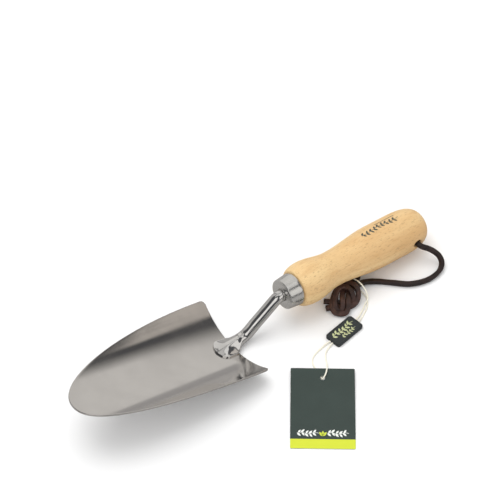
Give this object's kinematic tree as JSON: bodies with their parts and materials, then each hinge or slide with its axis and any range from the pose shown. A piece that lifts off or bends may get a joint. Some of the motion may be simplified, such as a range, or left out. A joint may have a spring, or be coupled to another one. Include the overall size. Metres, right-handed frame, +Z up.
{
  "type": "hand trowel",
  "caption": "Hand trowel for potting and planting: dished steel blade, swan neck and turned wooden handle, with a leather hanging thong and a swing tag on a string.",
  "frame": {"origin": "on the table under the middle of the trowel's length, on its plane of symmetry", "axes": "+X from the blade's tip to the handle's butt, +Z up out of the blade's hollow, +Y to the side without the ferrule pin"},
  "size_m": [0.331, 0.1717, 0.0449],
  "materials": {
    "blade": "satin polished, with faint lengthwise grind marks",
    "neck": "bright polished forging",
    "ferrule": "bright polished",
    "ferrule_pin": "plain",
    "handle": "pale turned hardwood, oiled, fine flecks along the grain",
    "thong": "dark brown square-cut lace",
    "thong_knot": "dark brown lace with redder edges",
    "seal_loop": "cream twisted cotton",
    "string_seal": "black, with a plain pale green printed mark",
    "tag_loop": "cream twisted cotton",
    "swing_tag": "dark green card with a lime band along its lower edge"
  },
  "bodies": {
    "trowel": {"blade": "blade", "neck": "neck", "ferrule": "ferrule", "ferrule_pin": "ferrule_pin", "handle": "handle", "thong": "thong", "thong_knot": "thong_knot", "seal_loop": "seal_loop", "string_seal": "string_seal", "tag_loop": "tag_loop"},
    "tag": {"swing_tag": "swing_tag"}
  },
  "joints": [
    {"name": "tag_swivel", "type": "hinge", "parent": "trowel", "child": "tag", "pos_m": [0.0149, -0.0653, 0.00197], "axis": [0, 0, 1], "range_deg": [-35, 35]}
  ]
}
